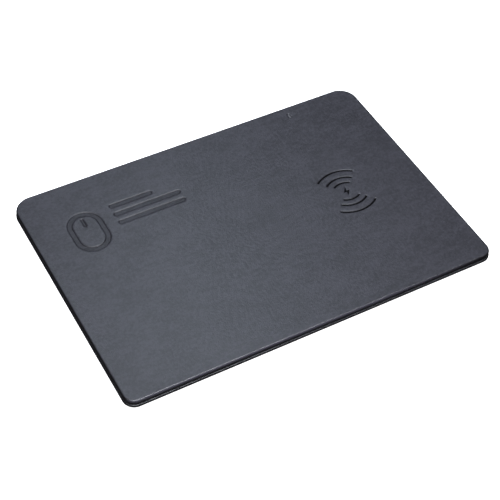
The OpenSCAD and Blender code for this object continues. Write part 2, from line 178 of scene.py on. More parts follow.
def outline(half, corners, step, stops=()):
    """Points anticlockwise round a rounded rectangle, with one at each stop along the rear side."""
    front, rear = corners
    front_x, rear_x = half[0] - front, half[0] - rear
    along_rear = even_lines([(x, step) for x in sorted({-rear_x, *stops, rear_x})])[::-1]
    along_front = even_lines([(-front_x, step), (front_x, step)])
    along_y = even_lines([(front - half[1], step), (half[1] - rear, step)])
    arc = np.linspace(0, math.pi / 2, 15)[1:-1]
    quarter = np.stack([np.cos(arc), np.sin(arc)], axis=1)
    return np.concatenate([
        np.stack([np.full(len(along_y), half[0]), along_y], axis=1),
        quarter * rear + [rear_x, half[1] - rear],
        np.stack([along_rear, np.full(len(along_rear), half[1])], axis=1),
        quarter[::-1] * [-rear, rear] + [-rear_x, half[1] - rear],
        np.stack([np.full(len(along_y), -half[0]), along_y[::-1]], axis=1),
        -quarter * front + [-front_x, front - half[1]],
        np.stack([along_front, np.full(len(along_front), -half[1])], axis=1),
        quarter[::-1] * [front, -front] + [front_x, front - half[1]],
    ])


def wrap(points, away, profile):
    """Rows of points: the outline moved outwards and set to a height, for each row of a profile."""
    rows = [np.column_stack([points + away * out, np.full(len(points), z)]) for out, z in profile]
    return np.stack(rows)


def notched_quads(index, gap, top_row, end_row):
    """Quads of a closed skirt, without those of the columns in gap between two of its rows.

    The cut is closed by a lid from row to row and by one flat face at each of its two ends."""
    closed = np.concatenate([index, index[:, :1]], axis=1)
    quads = grid_quads(closed).reshape(len(index) - 1, -1, 4)
    keep = np.ones(quads.shape[:2], bool)
    keep[top_row:end_row, gap[0]:gap[-1] + 1] = False
    columns = closed[:, gap[0]:gap[-1] + 2]
    lid = grid_quads(columns[[top_row, end_row]])
    ends = np.stack([columns[top_row:end_row + 1, 0][::-1], columns[top_row:end_row + 1, -1]])
    return quads[keep], lid, ends


def arc_rows(centre, radius, start, stop, count):
    """Profile rows (outward, height) on an arc, by angle above the outward direction, in degrees."""
    angles = np.radians(np.linspace(start, stop, count))
    return [(centre[0] + radius * math.cos(a), centre[1] + radius * math.sin(a)) for a in angles]


# ------------------------------------------------------------------ sizes taken from the frame

cover_low, cover_high = box_mm("top_cover")
sole_low, sole_high = box_mm("bottom_cover")
foam_high = box_mm("top_foam")[1]
grip_low, grip_high = box_mm("grip_sheet")
bezel_low, bezel_high = box_mm("port_bezel")
shell_low, shell_high = box_mm("usb_shell")
pipe_low, pipe_high = box_mm("light_pipe")
coil_low, coil_high = box_mm("coil_winding")
screen_low, screen_high = box_mm("ferrite_plate")
lower_board_low, lower_board_high = box_mm("lower_board")
upper_board_low = box_mm("upper_board")[0]

SPOT = (screen_low + screen_high) / 2
LIGHT = (pipe_low + pipe_high) / 2
PORT = (bezel_low + bezel_high) / 2
NOTCH_X = (bezel_low[0], bezel_high[0])

# Outline and edges of the two wrapped units
FRONT_CORNER = 9.2
REAR_CORNER = 15
CORNERS = np.array([FRONT_CORNER, REAR_CORNER])
TOP_EDGE = 1.5
HEM = 0.6
TURN_IN = 12
SOLE_EDGE = 0.8

# ------------------------------------------------------------------ debossed lines


def stadium_gap(x, y, centre, width, length):
    """Distance outside a round-ended slot that is long along Y; negative inside it."""
    past_end = np.maximum(np.abs(y - centre[1]) - (length - width) / 2, 0)
    return np.hypot(x - centre[0], past_end) - width / 2


def wave_gap(x, y, centre, radius, half_angle, facing):
    """Distance outside a wave: an arc about the facing direction, as wide as the symbol's lines."""
    across = np.abs(x - centre[0])
    ahead = (y - centre[1]) * facing
    on_arc = np.abs(np.hypot(across, ahead) - radius)
    to_end = np.hypot(across - radius * math.sin(half_angle), ahead - radius * math.cos(half_angle))
    return np.where(np.arctan2(across, ahead) < half_angle, on_arc, to_end) - SYMBOL_LINE / 2


def outline_gap(x, y, corners):
    """Distance outside a closed polygon; negative inside it, by the crossing rule."""
    nearest = np.full(x.shape, np.inf)
    inside = np.zeros(x.shape, bool)
    for (ax, ay), (bx, by) in zip(corners, corners[1:] + corners[:1]):
        along = ((x - ax) * (bx - ax) + (y - ay) * (by - ay)) / ((bx - ax) ** 2 + (by - ay) ** 2)
        along = np.clip(along, 0, 1)
        gap = np.hypot(x - ax - along * (bx - ax), y - ay - along * (by - ay))
        nearest = np.minimum(nearest, gap)
        if ay != by:
            crossed = (ay > y) != (by > y)
            inside ^= crossed & (x < ax + (y - ay) * (bx - ax) / (by - ay))
    return np.where(inside, -nearest, nearest)


SYMBOL_LINE = 1.8
WAVES = ((13, math.radians(30)), (18.7, math.radians(35)), (26, math.radians(36)))
WAVE_BACK = 3.9
BOLT = [(1.4, 5.2), (-3, -0.8), (-0.3, -0.8), (-1.4, -5.2), (3, 0.8), (0.3, 0.8)]
MOTIF = (-108.5, 51)
MOTIF_SIZE = (28, 41)
MOTIF_LINE = 4.4
WHEEL_SIZE = (2.6, 9)
WHEEL_DROP = 6.5
BARS = ((49, 56), (58, 56), (67, 36))
BARS_X = -85
BARS_REACH = 60
LIGHT_CLEARANCE = 0.5

# Walls, depths and soft shoulders of the pressed lines, and the band of painted shade along the foot of
# the motif's walls, in millimetres
SYMBOL_WALL = 0.34
MOTIF_WALL = 0.42
LIGHT_WALL = 0.4
PRESS_DEPTH = 0.5
LIGHT_DEPTH = 0.3
SHOULDER_DEPTH = 0.2
SHOULDER_REACH = 0.5
FOOT_SHADE_INSET = 0.4
FOOT_SHADE_WIDTH = 0.25
SWELL = 0.02
RELIEF_FADE = 4


def symbol_gap(x, y):
    """Distance outside the charging symbol: three waves to the rear, three to the front, and a bolt."""
    gaps = [
        wave_gap(x, y, (SPOT[0], SPOT[1] - side * WAVE_BACK), radius, half_angle, side)
        for side in (1, -1)
        for radius, half_angle in WAVES
    ]
    bolt = [(SPOT[0] + bx, SPOT[1] + by) for bx, by in BOLT]
    return np.minimum.reduce(gaps + [outline_gap(x, y, bolt)])


def motif_gap(x, y):
    """Distance outside the motif: a mouse outline with its wheel, and three bars beside it."""
    middle = stadium_gap(x, y, MOTIF, MOTIF_SIZE[0] - MOTIF_LINE, MOTIF_SIZE[1] - MOTIF_LINE)
    wheel_y = MOTIF[1] + MOTIF_SIZE[1] / 2 - MOTIF_LINE - WHEEL_DROP
    gaps = [
        np.abs(middle) - MOTIF_LINE / 2,
        stadium_gap(x, y, (MOTIF[0], wheel_y), *WHEEL_SIZE),
    ]
    for bar_y, length in BARS:
        gaps.append(stadium_gap(y, x, (bar_y, BARS_X + length / 2), MOTIF_LINE, length))
    return np.minimum.reduce(gaps)


def light_gap(x, y):
    """Distance outside the well round the status light."""
    size = pipe_high - pipe_low + LIGHT_CLEARANCE
    return stadium_gap(x, y, LIGHT, size[0], size[1])


def pressed(gap, wall):
    """1 at the bottom of a pressed line and 0 outside it, eased over the width of its wall."""
    return 1 - smoothstep(-wall, 0, gap)


def relief(x, y):
    """Depth below the flat top, and how much each point is darkened by painted shade in the pressed
    lines.

    Each line has a steep wall and a soft shoulder outside it where the foam gives; the plain
    leather swells and sinks a few hundredths of a millimetre in long waves. Painted shade covers
    the thin lines of the symbol all over, the broad ones of the motif lightly and along the foot of
    their walls, and the well round the status light."""
    symbol, motif, light = symbol_gap(x, y), motif_gap(x, y), light_gap(x, y)
    thin, broad = pressed(symbol, SYMBOL_WALL), pressed(motif, MOTIF_WALL)
    well = pressed(light, LIGHT_WALL)
    nearest = np.minimum(np.minimum(symbol, motif), light)
    shoulder = SHOULDER_DEPTH * np.exp(-np.maximum(nearest, 0) / SHOULDER_REACH)
    along_x = np.sin(x / 19 + 0.7 * np.sin(y / 31))
    along_y = np.sin(y / 15 + 0.9 * np.sin(x / 27))
    swell = SWELL * (2 + along_x + along_y)
    # Painted shade: a dark band along the foot of the motif's walls, where wall meets floor
    foot = np.exp(-((motif + FOOT_SHADE_INSET) / FOOT_SHADE_WIDTH) ** 2)
    depth = PRESS_DEPTH * thin + PRESS_DEPTH * broad + LIGHT_DEPTH * well + shoulder + swell
    return depth, np.maximum(thin, 0.28 * broad + 0.5 * foot + 0.8 * well)


# ------------------------------------------------------------------ leather covers


def fine_patch(x_lines, y_lines, index, box, step, first):
    """A finer grid in place of a rectangle of coarse cells, whose sides lie on coarse lines.

    It stops a little short of the sides; a border of flat faces joins each coarse edge to the fine
    points that lie along it. Returns the fine x and y, the faces, and the cells that it replaces."""
    margin = 0.7
    (west, east), (south, north) = [
        [int(np.argmin(np.abs(lines - side))) for side in sides]
        for lines, sides in ((x_lines, box[0]), (y_lines, box[1]))
    ]

    def between(lines, low, high):
        stops = [lines[low] + margin, *lines[low + 1:high], lines[high] - margin]
        fine = even_lines([(stop, step) for stop in stops])
        return fine, np.searchsorted(fine, np.array(stops) - step / 9)

    fine_x, at_x = between(x_lines, west, east)
    fine_y, at_y = between(y_lines, south, north)
    x, y = np.meshgrid(fine_x, fine_y)
    inner = first + np.arange(x.size).reshape(x.shape)
    outer_ring = border(index[south:north + 1, west:east + 1])
    inner_ring = border(inner)
    wide, tall = len(fine_x) - 1, len(fine_y) - 1
    stations = np.concatenate([
        at_x[:-1], wide + at_y[:-1], 2 * wide + tall - at_x[:0:-1], 2 * (wide + tall) - at_y[:0:-1],
        [len(inner_ring)],
    ])
    faces = [grid_quads(inner)]
    for k, start in enumerate(stations[:-1]):
        along = np.arange(stations[k + 1], start - 1, -1) % len(inner_ring)
        edge = outer_ring[[k, (k + 1) % len(outer_ring)]]
        faces.append(np.append(edge, inner_ring[along])[None])
    return x.ravel(), y.ravel(), faces, (slice(south, north), slice(west, east))


def in_notch(points, half):
    """Which columns of a closed strip lie in the notch; column k joins point k to point k + 1."""
    middle = (points + np.roll(points, -1, axis=0)) / 2
    on_rear = middle[:, 1] > half[1] - 0.1
    return on_rear & (middle[:, 0] > NOTCH_X[0]) & (middle[:, 0] < NOTCH_X[1])


def make_top_leather():
    """The top cover as one closed sheet.

    A coarse grid, with finer patches over the debossed lines and the light, is bent to the rounded
    outline and lowered by the relief. From its rim a profile runs round the edge, down the side, in
    behind the board and back up the inside to a flat underside."""
    half = cover_high[:2] - TOP_EDGE
    corners = CORNERS - (sole_high[0] - cover_high[0]) - TOP_EDGE
    front, rear = corners
    coarse, medium, fine = 4.5, 2, 1.2
    margin, side_margin, light_margin = 3, 2.5, 2
    reach, half_angle = WAVES[-1]
    wide = reach * math.sin(half_angle) + side_margin
    tall = reach - WAVE_BACK + margin
    symbol_box = ((SPOT[0] - wide, SPOT[0] + wide), (SPOT[1] - tall, SPOT[1] + tall))
    motif_box = (
        (MOTIF[0] - MOTIF_SIZE[0] / 2 - margin, BARS_X + BARS_REACH),
        (MOTIF[1] - MOTIF_SIZE[1] / 2 - margin, MOTIF[1] + MOTIF_SIZE[1] / 2 + margin),
    )
    light_box = (NOTCH_X, (pipe_low[1] - light_margin, pipe_high[1] + light_margin))
    x_lines = even_lines([
        (-half[0], fine), (front - half[0], fine), (rear - half[0], coarse),
        (motif_box[0][0], coarse), (motif_box[0][1], coarse), (symbol_box[0][0], coarse),
        (NOTCH_X[0], coarse), (NOTCH_X[1], coarse), (symbol_box[0][1], coarse),
        (half[0] - rear, fine), (half[0] - front, fine), (half[0], 0),
    ])
    y_lines = even_lines([
        (-half[1], fine), (front - half[1], coarse), (symbol_box[1][0], coarse),
        (symbol_box[1][1], medium), (motif_box[1][0], coarse), (motif_box[1][1], coarse),
        (half[1] - rear, fine), (light_box[1][0], fine), (light_box[1][1], fine), (half[1], 0),
    ])
    x, y = np.meshgrid(x_lines, y_lines)
    index = np.arange(x.size).reshape(x.shape)
    x, y = round_corners(x, y, half, corners)
    kept = np.ones((len(y_lines) - 1, len(x_lines) - 1), bool)
    flat_x, flat_y, faces = [x.ravel()], [y.ravel()], []
    for box, step in ((symbol_box, 0.23), (motif_box, 0.36), (light_box, 0.25)):
        first = sum(map(len, flat_x))
        patch_x, patch_y, patch_faces, cells = fine_patch(x_lines, y_lines, index, box, step, first)
        kept[cells] = False
        flat_x.append(patch_x)
        flat_y.append(patch_y)
        faces += patch_faces
    x, y = np.concatenate(flat_x), np.concatenate(flat_y)
    rim = np.minimum(half[0] - np.abs(x), half[1] - np.abs(y))
    depth = relief(x, y)[0] * smoothstep(0, RELIEF_FADE, rim)
    top = np.column_stack([x, y, cover_high[2] - depth])

    rim_index = border(index)
    rim_points = top[rim_index]
    rim_away = outward(rim_points[:, :2], half, corners)
    notch_z = bezel_high[2]
    edge_centre = (0, cover_high[2] - TOP_EDGE)
    notch_angle = math.degrees(math.asin((notch_z - edge_centre[1]) / TOP_EDGE))
    inside = foam_high[0] - half[0]
    arc_count = 7
    lean, hem_inset = 0.1, 0.3
    profile = [
        *arc_rows(edge_centre, TOP_EDGE, 78, notch_angle, arc_count),
        (TOP_EDGE, edge_centre[1] - 0.15),
        (TOP_EDGE - lean, (edge_centre[1] + cover_low[2] + HEM) / 2),
        *arc_rows((TOP_EDGE - HEM - hem_inset, cover_low[2] + HEM), HEM, 0, -90, 4),
        (TOP_EDGE - TURN_IN, cover_low[2]),
        (TOP_EDGE - TURN_IN, upper_board_low[2]),
        (inside, upper_board_low[2]),
        (inside, notch_z),
        (inside, foam_high[2]),
    ]
    skirt = wrap(rim_points[:, :2], rim_away, profile)
    rows = np.arange(skirt.shape[0] * skirt.shape[1]).reshape(skirt.shape[:2]) + len(top)
    rows = np.vstack([rim_index, rows])
    # Known fault: a reversed strip's columns are one off from the reversed mask, so this notch lies
    # one column too far towards +X. Rolling the reversed mask back by one would bring it to the bezel.
    gap = np.flatnonzero(in_notch(rim_points, half)[::-1])
    side, lid, ends = notched_quads(rows[:, ::-1], gap, arc_count, len(rows) - 2)
    piece = build(
        "top_leather", np.concatenate([top, skirt.reshape(-1, 3)]),
        grid_quads(index).reshape(*kept.shape, 4)[kept], *faces, side, lid, ends, rows[-1:, ::-1],
    )
    # Painted shade of the pressed lines, stored at each point for the leather's colour
    mark(piece, "groove_shade", lambda x, y: relief(x, y)[1])
    mark(piece, "rim", lambda x, y: round_edge(x, y, cover_high[:2], corners + TOP_EDGE, TOP_EDGE))
    return piece


def make_sole_leather():
    """The bottom cover as one closed sheet: a flat sole, a rounded side and a turned-in hem."""
    half = sole_high[:2] - SOLE_EDGE
    corners = CORNERS - SOLE_EDGE
    step, arc_count = 3, 5
    points = outline(half, corners, step, NOTCH_X)
    away = outward(points, half, corners)
    notch_z = bezel_low[2]
    low_centre = (0, sole_low[2] + SOLE_EDGE)
    notch_angle = math.degrees(math.asin((notch_z - low_centre[1]) / SOLE_EDGE))
    inside = lower_board_high[0] - half[0]
    profile = [
        (0, sole_low[2]),
        *arc_rows(low_centre, SOLE_EDGE, -72, notch_angle, arc_count),
        (SOLE_EDGE, low_centre[1]),
        *arc_rows((0, sole_high[2] - SOLE_EDGE), SOLE_EDGE, 0, 90, 6),
        (SOLE_EDGE - TURN_IN, sole_high[2]),
        (SOLE_EDGE - TURN_IN, lower_board_high[2]),
        (inside, lower_board_high[2]),
        (inside, notch_z),
        (inside, lower_board_low[2]),
    ]
    skirt = wrap(points, away, profile)
    rows = np.arange(skirt.shape[0] * skirt.shape[1]).reshape(skirt.shape[:2])
    gap = np.flatnonzero(in_notch(points, half))
    side, lid, ends = notched_quads(rows, gap, arc_count, len(rows) - 2)
    piece = build("sole_leather", skirt.reshape(-1, 3), side, lid, ends, rows[:1, ::-1], rows[-1:])
    mark(piece, "rim", lambda x, y: round_edge(x, y, sole_high[:2], CORNERS, SOLE_EDGE))
    return piece


def make_grip_sheet():
    """Rubber sheet with a bevelled edge and rows of low round studs that touch the floor.

    A stud is a dome: rings whose radius and height follow the cosine and sine of an angle."""
    stud_height, stud_radius, pitch = 0.14, 1.5, 6.2
    floor_z = grip_low[2] + stud_height
    half = grip_high[:2].copy()
    corners = CORNERS - (sole_high[0] - grip_high[0])
    bevel, step = 0.12, 6
    top_inset, top_drop = 0.1, 0.02
    rings = []
    for inset, z in (
        (bevel, floor_z), (0, floor_z + bevel), (0, grip_high[2] - top_drop), (top_inset, grip_high[2]),
    ):
        flat = outline(half - inset, corners - inset, step)
        rings.append(np.column_stack([flat, np.full(len(flat), z)]))
    sheet = loft("grip_base", rings)

    first_gap, last_gap, corner_gap = 6, 5, 3
    columns = np.arange(-half[0] + first_gap, half[0] - last_gap, pitch)
    lines = np.arange(-half[1] + first_gap, half[1] - last_gap, pitch * math.sqrt(3) / 2)
    cx, cy = np.meshgrid(columns, lines)
    cx = cx + (np.arange(len(lines)) % 2)[:, None] * pitch / 2
    centres = np.column_stack([cx.ravel(), cy.ravel()])
    inner = half - corner_radius(centres[:, 1], corners)[:, None]
    past = np.linalg.norm(centres - np.clip(centres, -inner, inner), axis=1)
    centres = centres[past < corner_radius(centres[:, 1], corners) - corner_gap]
    sides, root = 8, 0.05
    around = np.linspace(0, 2 * math.pi, sides, endpoint=False)
    ring = np.stack([np.cos(around), np.sin(around)], axis=1)
    stud = [np.column_stack([ring * stud_radius, np.full(sides, floor_z + root)])]
    for angle in (0, 35, 65):
        tilt = math.radians(angle)
        level = np.full(sides, floor_z - stud_height * math.sin(tilt))
        stud.append(np.column_stack([ring * stud_radius * math.cos(tilt), level]))
    count = len(stud) * sides
    stud = np.stack(stud)
    points = np.concatenate([stud.reshape(-1, 3), [[0, 0, grip_low[2]]]])
    index = np.arange(count).reshape(-1, sides)
    quads = grid_quads(index[::-1], closed=True)
    tip = np.column_stack([np.roll(index[-1], -1), index[-1], np.full(sides, count)])
    offsets = np.arange(len(centres))[:, None, None] * len(points)
    every = points[None] + np.column_stack([centres, np.zeros(len(centres))])[:, None, :]
    studs = build(
        "grip_studs", every.reshape(-1, 3), (quads + offsets).reshape(-1, 4),
        (tip + offsets).reshape(-1, 3), (index[:1] + offsets).reshape(-1, sides),
    )
    return join("grip_rubber_sheet", sheet, studs)


# ------------------------------------------------------------------ socket and status light


def port_ring(width, height, radius, y):
    """Rounded rectangle that faces the rear, about the socket's axis, at one depth."""
    arc = np.linspace(0, math.pi / 2, 9)
    quarter = radius * np.stack([np.cos(arc), np.sin(arc)], axis=1)
    core = np.array([width / 2 - radius, height / 2 - radius])
    turned = [quarter + core]
    turned.append(quarter[::-1] * [-1, 1] + core * [-1, 1])
    turned.append(-quarter - core)
    turned.append(quarter[::-1] * [1, -1] + core * [1, -1])
    flat = np.concatenate(turned)
    return np.column_stack([PORT[0] + flat[:, 0], np.full(len(flat), y), PORT[2] + flat[:, 1]])


def nested_rings(width, height, rows):
    """Rings about the socket's axis, one for each (inset, corner radius, depth) of rows."""
    return [port_ring(width - inset, height - inset, radius, y) for inset, radius, y in rows]


def make_port_frame():
    """Plastic frame round the socket: rounded outside, with a funnel that leads into the mouth."""
    width, height = bezel_high[0] - bezel_low[0], bezel_high[2] - bezel_low[2]
    back, face = bezel_low[1], bezel_high[1]
    mouth, funnel, throat = (9.5, 3.72, 1.6), (9.2, 3.48, 1.56), (8.96, 3.28, 1.46)
    rings = nested_rings(width, height, [
        (0, 1.4, back), (0, 1.4, face - 0.3), (0.12, 1.35, face - 0.12), (0.4, 1.2, face - 0.02),
        (0.8, 1.1, face),
    ])
    for size, y in ((mouth, face), (funnel, face - 0.12), (throat, face - 0.4), (throat, back)):
        rings.append(port_ring(*size, y))
    return loft("port_frame", rings[::-1], ring_closed=True)


def rounded_block(name, low, high, edge):
    """Block whose eight corners and twelve edges are rounded by a bevel."""
    x, y, z = zip(low, high)
    points = np.array([(a, b, c) for c in z for b in y for a in x])
    faces = np.array([[0, 2, 3, 1], [4, 5, 7, 6], [0, 1, 5, 4], [1, 3, 7, 5], [3, 2, 6, 7], [2, 0, 4, 6]])
    block = build(name, points, faces)
    bevel = block.modifiers.new("edges", "BEVEL")
    bevel.width = edge * MM
    bevel.segments = 2
    bevel.harden_normals = True
    bpy.context.view_layer.objects.active = block
    bpy.ops.object.modifier_apply(modifier="edges")
    return block


def make_socket_shell():
    """Drawn steel shell with a rolled lip, and the four tabs that hold it to the board."""
    back, mouth = shell_low[1], shell_high[1]
    height = shell_high[2] - shell_low[2]
    width = 8.94
    rings = nested_rings(width, height, [
        (0, 1.45, back), (0, 1.45, mouth - 0.16), (0.08, 1.41, mouth - 0.05), (0.2, 1.35, mouth),
        (0.4, 1.25, mouth), (0.52, 1.19, mouth - 0.05), (0.6, 1.15, mouth - 0.16), (0.6, 1.15, back),
    ])
    shell = loft("socket_tube", rings[::-1], ring_closed=True)
    board_top = box_mm("circuit_board")[1][2]
    tab_places, tab_half, tab_height, overlap = (1.4, 4.8), 0.8, 0.3, 0.02
    tabs = []
    for side in (-1, 1):
        for along in tab_places:
            near = PORT[0] + side * (width / 2 - overlap)
            far = PORT[0] + side * (shell_high[0] - PORT[0])
            low = (min(near, far), back + along - tab_half, board_top)
            high = (max(near, far), back + along + tab_half, board_top + tab_height)
            tabs.append(rounded_block("tab", low, high, 0.08))
    return join("socket_shell", shell, *tabs)


def make_light_window():
    """Smoked window over the status light: a round-ended bar with a soft dome, on a short foot."""
    size = pipe_high - pipe_low
    sunk, foot_x, foot_y, overlap = 0.6, 0.6, 0.5, 0.1
    window_low = box_mm("charger_lid")[1][2] - sunk
    arc = np.linspace(0, math.pi, 13)
    cap = np.stack([np.cos(arc), np.sin(arc)], axis=1)

    def ring(width, length, z):
        shift = [0, (length - width) / 2]
        flat = np.concatenate([cap * width / 2 + shift, -cap * width / 2 - shift]) + LIGHT[:2]
        return np.column_stack([flat, np.full(len(flat), z)])

    top = pipe_high[2]
    rings = [ring(size[0], size[1], window_low), ring(size[0], size[1], top - 0.3)]
    for inset, drop in ((0.05, 0.16), (0.16, 0.06), (0.4, 0.02), (0.75, 0)):
        rings.append(ring(size[0] - 2 * inset, size[1] - 2 * inset, top - drop))
    window = loft("light_window", rings)
    led_low, led_high = box_mm("status_led")
    foot_middle = (led_low + led_high) / 2
    foot = rounded_block(
        "foot", (foot_middle[0] - foot_x, foot_middle[1] - foot_y, pipe_low[2]),
        (foot_middle[0] + foot_x, foot_middle[1] + foot_y, window_low + overlap), 0.1,
    )
    return join("light_window", window, foot)


# ------------------------------------------------------------------ coil


def make_coil():
    """Spiral of twisted strand: a tube whose middle moves outwards evenly with the angle.

    The section is a circle with seven shallow lobes that turn slowly along the wire."""
    turns, sides, lobes = 10, 14, 7
    half_wire, pitch, inner_radius = 0.525, 1.14, 10.25
    lobe_depth, twist = 0.07, 9
    inner = inner_radius + half_wire
    stations = 900
    angle = np.linspace(0, 2 * math.pi * turns, stations)
    reach = inner + pitch * angle / (2 * math.pi)
    centre = np.column_stack([SPOT[0] - reach * np.sin(angle), SPOT[1] + reach * np.cos(angle)])
    away = np.column_stack([-np.sin(angle), np.cos(angle)])
    travelled = np.cumsum(reach) * (angle[1] - angle[0])
    around = np.linspace(0, 2 * math.pi, sides, endpoint=False)
    turned = around[None] + travelled[:, None] / twist
    lobe = 1 - lobe_depth * (0.5 + 0.5 * np.cos(lobes * turned))
    radius = half_wire * lobe
    across = radius * np.cos(around)[None]
    height = (coil_high[2] + coil_low[2]) / 2 + radius * np.sin(around)[None]
    flat = centre[:, None, :] + away[:, None, :] * across[..., None]
    points = np.concatenate([flat, height[..., None]], axis=-1)
    index = np.arange(stations * sides).reshape(stations, sides)
    caps = np.stack([index[0, ::-1], index[-1]])
    return build("coil_strand", points.reshape(-1, 3), grid_quads(index, closed=True), caps)


# ------------------------------------------------------------------ shader kit


class Signal:
    """A shader socket; arithmetic on it adds Math nodes to its tree."""

    def __init__(self, tree, socket):
        self.tree = tree
        self.socket = socket

    def maths(self, operation, *values):
        node = self.tree.nodes.new("ShaderNodeMath")
        node.operation = operation
        for slot, value in zip(node.inputs, values):
            if isinstance(value, Signal):
                self.tree.links.new(value.socket, slot)
            else:
                slot.default_value = value
        return Signal(self.tree, node.outputs[0])

    def __add__(self, other):
        return self.maths("ADD", self, other)

    def __radd__(self, other):
        return self.maths("ADD", other, self)

    def __sub__(self, other):
        return self.maths("SUBTRACT", self, other)

    def __rsub__(self, other):
        return self.maths("SUBTRACT", other, self)

    def __mul__(self, other):
        return self.maths("MULTIPLY", self, other)

    def __rmul__(self, other):
        return self.maths("MULTIPLY", other, self)

    def __truediv__(self, other):
        return self.maths("DIVIDE", self, other)

    def __abs__(self):
        return self.maths("ABSOLUTE", self)

    def over(self, level):
        return self.maths("GREATER_THAN", self, level)

    def largest(self, other):
        return self.maths("MAXIMUM", self, other)

    def ease(self, low, high):
        """0 at low, 1 at high, straight between them and held outside."""
        span = (self - low) / (high - low)
        held = self.maths("MINIMUM", span, 1)
        return held.maths("MAXIMUM", held, 0)

    def wrapped(self, start, period):
        """Distance from the nearest of a row of places: start, start + period, and so on."""
        return abs(self.maths("PINGPONG", self - start, period / 2))


class Finish:
    """One material. Patterns are in millimetres on the object's own coordinates."""

    def __init__(self, slot):
        self.slot = slot
        self.material = bpy.data.materials.new(slot)
        self.material.use_nodes = True
        self.tree = self.material.node_tree
        self.tree.nodes.clear()
        place = self.node("ShaderNodeTexCoord", output="Object")
        self.place = self.node(
            "ShaderNodeVectorMath", {"operation": "SCALE"}, {0: place, "Scale": 1 / MM}
        )

    def node(self, kind, settings=None, inputs=None, output=0):
        """Adds a node: its settings first, then values or links for its inputs; returns one output."""
        node = self.tree.nodes.new(kind)
        for name, value in (settings or {}).items():
            setattr(node, name, value)
        for name, value in (inputs or {}).items():
            if isinstance(value, Signal):
                self.tree.links.new(value.socket, node.inputs[name])
            else:
                node.inputs[name].default_value = value
        return Signal(self.tree, node.outputs[output]) if node.outputs else node

    def axis(self, name):
        """One coordinate, in millimetres."""
        return self.node("ShaderNodeSeparateXYZ", inputs={0: self.place}, output=name)

    def noise(self, size, detail=3, roughness=0.55, stretch=(1, 1, 1)):
        """Soft cloud whose lumps are about size millimetres across, from 0 to 1."""
        scaled = self.node(
            "ShaderNodeVectorMath", {"operation": "MULTIPLY"}, {0: self.place, 1: stretch}
        )
        return self.node(
            "ShaderNodeTexNoise", {"noise_dimensions": "3D"},
            {"Vector": scaled, "Scale": 1 / size, "Detail": detail, "Roughness": roughness},
        )

    def cells(self, size, feature="F1"):
        """Distance in a field of cells about size millimetres across."""
        return self.node(
            "ShaderNodeTexVoronoi", {"feature": feature},
            {"Vector": self.place, "Scale": 1 / size}, output="Distance",
        )

    def blend(self, factor, low, high):
        """Colour between two colours or colour signals."""
        return self.node(
            "ShaderNodeMix", {"data_type": "RGBA"},
            {0: factor, 6: opaque(low), 7: opaque(high)}, output=2,
        )

    def bump(self, height, depth, strength=1):
        """Normal from a height signal whose range of 0 to 1 is depth millimetres."""
        return self.node(
            "ShaderNodeBump", None, {"Height": height, "Distance": depth * MM, "Strength": strength},
            output="Normal",
        )

    def surface(self, **values):
        """The surface shader and the output; an underscore in a name stands for a space."""
        inputs = {name.replace("_", " "): value for name, value in values.items()}
        shader = self.node("ShaderNodeBsdfPrincipled", None, inputs, output="BSDF")
        self.node("ShaderNodeOutputMaterial", None, {"Surface": shader})
        return self


def opaque(colour):
    """A colour with full alpha; a signal stays as it is."""
    return colour if isinstance(colour, Signal) else (*colour, 1)


# ------------------------------------------------------------------ leather finishes


def leather(slot, dark, light, roughness, front_rim_shading, pressed_lines):
    """Matte polyurethane leather: soft pebbles with fine creases, pores, and faint clouds of tone.

    Pressed lines and edges are darkened by painted shade. Along the front edge the rim is instead
    painted lighter on the top cover and darker on the sole, as painted light and shade, and it is
    glossier. The rim attribute is 0 on the flat and 1 on the side, and the pressed-line shade
    attribute is 1 in a line."""
    skin = Finish(slot)
    swell = skin.noise(2.3, 2, 0.45)
    pebble = skin.cells(1.1, "SMOOTH_F1")
    crease = skin.cells(1.1, "DISTANCE_TO_EDGE").ease(0, 0.2)
    pore = skin.noise(0.3, 2)
    cloud = skin.noise(30, 3, 0.6)
    streak = skin.noise(5, 2, 0.5, (0.6, 1.2, 1))
    speck = skin.noise(2.4, 3, 0.65)
    tone = cloud * 0.2 + streak * 0.25 + speck * 0.55
    colour = skin.blend(tone.ease(0.42, 0.58), dark, light)
    rim_mark = skin.node("ShaderNodeAttribute", {"attribute_name": "rim"}, output="Fac")
    # Painted shade: a near-black copy of the dark tone, for the edges and the pressed lines
    painted_shade = tuple(0.12 * channel for channel in dark)
    # Band along the front edge, fading out towards the right end, where the rim's painted light and shade
    # differ
    front_shading_band = 1 - skin.axis("Y").ease(2 - cover_high[1], 6 - cover_high[1])
    front_shading_band = front_shading_band * (1 - skin.axis("X").ease(50, cover_high[0] - 10))
    # Painted shade down the rounded edges and sides, except along the front band
    colour = skin.blend(rim_mark.ease(0.15, 0.5) * (1 - front_shading_band) * 0.85, colour, painted_shade)
    # Along the front band the rim is painted with the light tone scaled by the front rim factor: painted
    # light on the top cover, painted shade on the sole
    front_rim_shading_colour = tuple(front_rim_shading * channel for channel in light)
    colour = skin.blend(rim_mark.ease(0.2, 0.6) * front_shading_band, colour, front_rim_shading_colour)
    polish = rim_mark.ease(0.02, 0.3) * (front_shading_band * 0.18 + 0.02)
    matte = roughness + (speck - 0.5) * 0.12 + (1 - crease) * 0.05 - polish
    metal = 0
    height = swell * 0.5 + crease * 0.08 + (1 - pebble) * 0.14 + pore * 0.1
    if pressed_lines:
        # Painted shade in the pressed lines: the colour goes near black, and a high metallic value over
        # it dims the reflection there as well
        groove_shade = skin.node("ShaderNodeAttribute", {"attribute_name": "groove_shade"}, output="Fac")
        colour = skin.blend(groove_shade, colour, painted_shade)
        matte = matte + groove_shade * 0.3
        metal = groove_shade * 0.8
        height = height * (1 - groove_shade * 0.5)
    return skin.surface(
        Base_Color=colour, Roughness=matte, Metallic=metal, Normal=skin.bump(height, 0.26), IOR=1.54,
    )


